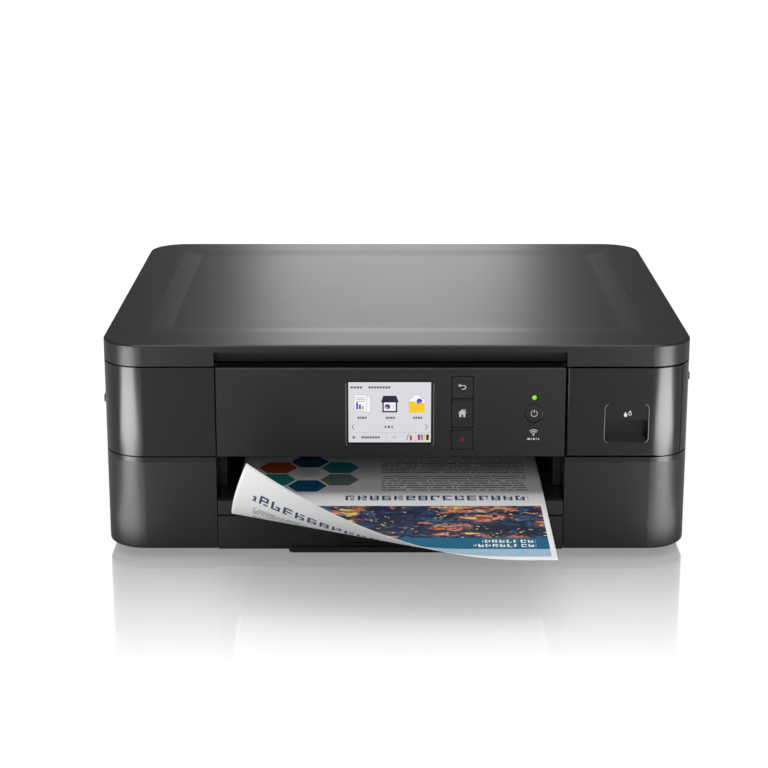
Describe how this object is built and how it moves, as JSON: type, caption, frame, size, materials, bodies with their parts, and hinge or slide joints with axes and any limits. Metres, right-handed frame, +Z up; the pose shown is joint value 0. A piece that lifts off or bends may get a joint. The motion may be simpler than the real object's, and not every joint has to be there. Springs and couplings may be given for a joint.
{
  "type": "inkjet printer",
  "caption": "All-in-one inkjet printer with a tilting touch panel, lifting scanner and lid, ink door, front paper tray and a printed sheet on its output cover.",
  "frame": {"origin": "centre of the machine's footprint, on the table", "axes": "+Z up, -Y towards the front panel and user, +X to the user's right"},
  "size_m": [0.4058, 0.459, 0.151],
  "materials": {
    "case_black": "satin moulded black",
    "lid_black": "satin black, smooth",
    "panel_black": "smooth satin black",
    "inner_black": "plain matt black",
    "tray_grey": "fine-grained dark grey",
    "screen_glass": "glossy touch screen",
    "key_black": "glossy printed key",
    "light_green": "lit translucent lens",
    "clear_glass": "clear float glass",
    "white_plastic": "plain white moulding",
    "white_foam": "white foam-backed sheet",
    "steel": "zinc-plated sheet and ground shafts",
    "gear_plastic": "natural acetal",
    "belt_rubber": "toothed rubber belt",
    "foot_rubber": "soft black rubber",
    "roller_rubber": "soft ground rubber",
    "circuit_board": "green solder mask with black parts",
    "metal_can": "dark coated motor cans",
    "ink_black": "black cartridge body",
    "ink_yellow": "yellow coded cartridge",
    "ink_cyan": "cyan coded cartridge",
    "ink_magenta": "magenta coded cartridge",
    "paper": "plain paper, colour print on top"
  },
  "bodies": {
    "base": {"lower_case": "case_black", "upper_case": "case_black", "rubber_feet": "foot_rubber", "case_screws": "steel", "cartridge_holder": "inner_black", "engine_frame": "steel", "carriage_rail": "steel", "platen": "inner_black", "turn_guide": "inner_black", "pinch_holder": "inner_black", "star_holder": "inner_black", "maintenance_station": "white_plastic", "main_board": "circuit_board", "power_supply": "inner_black", "power_inlet": "inner_black", "drive_belt": "belt_rubber", "drive_motors": "metal_can"},
    "scanner_unit": {"scanner_tub": "case_black", "glass_frame": "case_black", "scanner_glass": "clear_glass", "scan_rod": "steel", "lid_posts": "inner_black"},
    "lid": {"lid_shell": "lid_black", "lid_base": "white_plastic", "lid_pad": "white_foam"},
    "scan_bar": {"scan_head": "inner_black"},
    "stay_arm": {"scanner_stay": "inner_black"},
    "control_panel": {"panel_cover": "panel_black", "touchscreen": "screen_glass", "status_light": "light_green"},
    "back_button": {"back_key": "key_black"},
    "home_button": {"home_key": "key_black"},
    "stop_button": {"stop_key": "key_black"},
    "power_switch": {"power_button": "panel_black"},
    "ink_cover": {"ink_door": "panel_black"},
    "black_ink": {"cartridge_black": "ink_black"},
    "yellow_ink": {"cartridge_yellow": "ink_yellow"},
    "cyan_ink": {"cartridge_cyan": "ink_cyan"},
    "magenta_ink": {"cartridge_magenta": "ink_magenta"},
    "tray": {"paper_tray": "tray_grey", "tray_front": "tray_grey", "tray_cover": "tray_grey"},
    "left_guide": {"width_guide_left": "tray_grey"},
    "right_guide": {"width_guide_right": "tray_grey"},
    "guide_gear": {"guide_pinion": "gear_plastic"},
    "end_guide": {"length_guide": "tray_grey"},
    "support": {"paper_support": "tray_grey"},
    "carriage": {"print_carriage": "inner_black", "print_head": "steel"},
    "driven_pulley": {"drive_pulley": "gear_plastic"},
    "far_pulley": {"idler_pulley": "gear_plastic"},
    "feed_shaft": {"feed_roller": "roller_rubber"},
    "exit_shaft": {"eject_roller": "roller_rubber"},
    "transfer_gear": {"idler_gear": "gear_plastic"},
    "pinch_shaft": {"pinch_rollers": "gear_plastic"},
    "star_shaft": {"star_wheels": "gear_plastic"},
    "pickup_lever": {"pickup_arm": "inner_black"},
    "pickup_wheel": {"pickup_roller": "roller_rubber"},
    "rear_cover": {"jam_cover": "case_black"},
    "sheet": {"printed_sheet": "paper"}
  },
  "joints": [
    {"name": "scanner_lift", "type": "hinge", "parent": "base", "child": "scanner_unit", "pos_m": [0, 0.165, 0.103], "axis": [-1, 0, 0], "range_deg": [0, 30]},
    {"name": "lid_lift", "type": "hinge", "parent": "scanner_unit", "child": "lid", "pos_m": [0, 0.1665, 0.1435], "axis": [-1, 0, 0], "range_deg": [0, 80]},
    {"name": "stay_fold", "type": "hinge", "parent": "scanner_unit", "child": "stay_arm", "pos_m": [-0.19225, -0.1005, 0.093], "axis": [-1, 0, 0], "range_deg": [0, 60]},
    {"name": "scan_travel", "type": "slide", "parent": "scanner_unit", "child": "scan_bar", "axis": [1, 0, 0], "range_m": [0, 0.31]},
    {"name": "panel_tilt", "type": "hinge", "parent": "base", "child": "control_panel", "pos_m": [0, -0.1675, 0.131], "axis": [-1, 0, 0], "range_deg": [0, 45]},
    {"name": "back_press", "type": "slide", "parent": "control_panel", "child": "back_button", "axis": [0, 1, 0], "range_m": [0, 0.0006], "stiffness_N_per_m": 400},
    {"name": "home_press", "type": "slide", "parent": "control_panel", "child": "home_button", "axis": [0, 1, 0], "range_m": [0, 0.0006], "stiffness_N_per_m": 400},
    {"name": "stop_press", "type": "slide", "parent": "control_panel", "child": "stop_button", "axis": [0, 1, 0], "range_m": [0, 0.0006], "stiffness_N_per_m": 400},
    {"name": "power_press", "type": "slide", "parent": "control_panel", "child": "power_switch", "axis": [0, 1, 0], "range_m": [0, 0.0008], "stiffness_N_per_m": 400},
    {"name": "ink_door_swing", "type": "hinge", "parent": "base", "child": "ink_cover", "pos_m": [0.154, -0.1693, 0.0755], "axis": [1, 0, 0], "range_deg": [0, 90]},
    {"name": "black_eject", "type": "slide", "parent": "base", "child": "black_ink", "axis": [0, -1, 0], "range_m": [0, 0.006]},
    {"name": "yellow_eject", "type": "slide", "parent": "base", "child": "yellow_ink", "axis": [0, -1, 0], "range_m": [0, 0.006]},
    {"name": "cyan_eject", "type": "slide", "parent": "base", "child": "cyan_ink", "axis": [0, -1, 0], "range_m": [0, 0.006]},
    {"name": "magenta_eject", "type": "slide", "parent": "base", "child": "magenta_ink", "axis": [0, -1, 0], "range_m": [0, 0.006]},
    {"name": "tray_pull", "type": "slide", "parent": "base", "child": "tray", "axis": [0, -1, 0], "range_m": [0, 0.33]},
    {"name": "right_guide_slide", "type": "slide", "parent": "tray", "child": "right_guide", "axis": [-1, 0, 0], "range_m": [0, 0.054]},
    {"name": "left_guide_slide", "type": "slide", "parent": "tray", "child": "left_guide", "axis": [1, 0, 0], "range_m": [0, 0.054]},
    {"name": "guide_gear_turn", "type": "hinge", "parent": "tray", "child": "guide_gear", "pos_m": [-0.0044, -0.0415, 0.01145], "axis": [0, 0, 1], "range_deg": [0, 387]},
    {"name": "end_guide_slide", "type": "slide", "parent": "tray", "child": "end_guide", "axis": [0, 1, 0], "range_m": [0, 0.087]},
    {"name": "support_pull", "type": "slide", "parent": "tray", "child": "support", "axis": [0, -1, 0], "range_m": [0, 0.12]},
    {"name": "sheet_slide", "type": "slide", "parent": "tray", "child": "sheet", "axis": [0, -1, 0], "range_m": [0, 0.1]},
    {"name": "carriage_travel", "type": "slide", "parent": "base", "child": "carriage", "axis": [-1, 0, 0], "range_m": [0, 0.27]},
    {"name": "drive_pulley_turn", "type": "hinge", "parent": "base", "child": "driven_pulley", "pos_m": [0.176, 0.0785, 0.086], "axis": [0, 0, 1], "range_deg": [-3100, 0]},
    {"name": "far_pulley_turn", "type": "hinge", "parent": "base", "child": "far_pulley", "pos_m": [-0.176, 0.0785, 0.086], "axis": [0, 0, 1], "range_deg": [-3100, 0]},
    {"name": "feed_turn", "type": "hinge", "parent": "base", "child": "feed_shaft", "pos_m": [0, 0.0645, 0.0515], "axis": [1, 0, 0], "continuous": true},
    {"name": "exit_turn", "type": "hinge", "parent": "base", "child": "exit_shaft", "pos_m": [0, 0.0025, 0.0515], "axis": [1, 0, 0], "continuous": true},
    {"name": "transfer_turn", "type": "hinge", "parent": "base", "child": "transfer_gear", "pos_m": [-0.181, 0.0335, 0.0515], "axis": [1, 0, 0], "continuous": true},
    {"name": "pinch_turn", "type": "hinge", "parent": "base", "child": "pinch_shaft", "pos_m": [0, 0.0645, 0.0618], "axis": [1, 0, 0], "continuous": true},
    {"name": "star_turn", "type": "hinge", "parent": "base", "child": "star_shaft", "pos_m": [0, 0.0025, 0.0628], "axis": [1, 0, 0], "continuous": true},
    {"name": "pickup_swing", "type": "hinge", "parent": "base", "child": "pickup_lever", "pos_m": [-0.0044, 0.0435, 0.036], "axis": [-1, 0, 0], "range_deg": [0, 11]},
    {"name": "pickup_turn", "type": "hinge", "parent": "pickup_lever", "child": "pickup_wheel", "pos_m": [-0.0044, 0.08657, 0.027], "axis": [1, 0, 0], "continuous": true},
    {"name": "rear_cover_swing", "type": "hinge", "parent": "base", "child": "rear_cover", "pos_m": [0, 0.1695, 0.019], "axis": [-1, 0, 0], "range_deg": [0, 75]}
  ],
  "couplings": [
    {"joint": "stay_fold", "follows": "scanner_lift", "ratio": 2},
    {"joint": "left_guide_slide", "follows": "right_guide_slide", "ratio": 1},
    {"joint": "guide_gear_turn", "follows": "right_guide_slide", "rad_per_m": 125},
    {"joint": "drive_pulley_turn", "follows": "carriage_travel", "rad_per_m": -200},
    {"joint": "far_pulley_turn", "follows": "carriage_travel", "rad_per_m": -200},
    {"joint": "exit_turn", "follows": "feed_turn", "ratio": 1},
    {"joint": "transfer_turn", "follows": "feed_turn", "ratio": -1.0667}
  ]
}
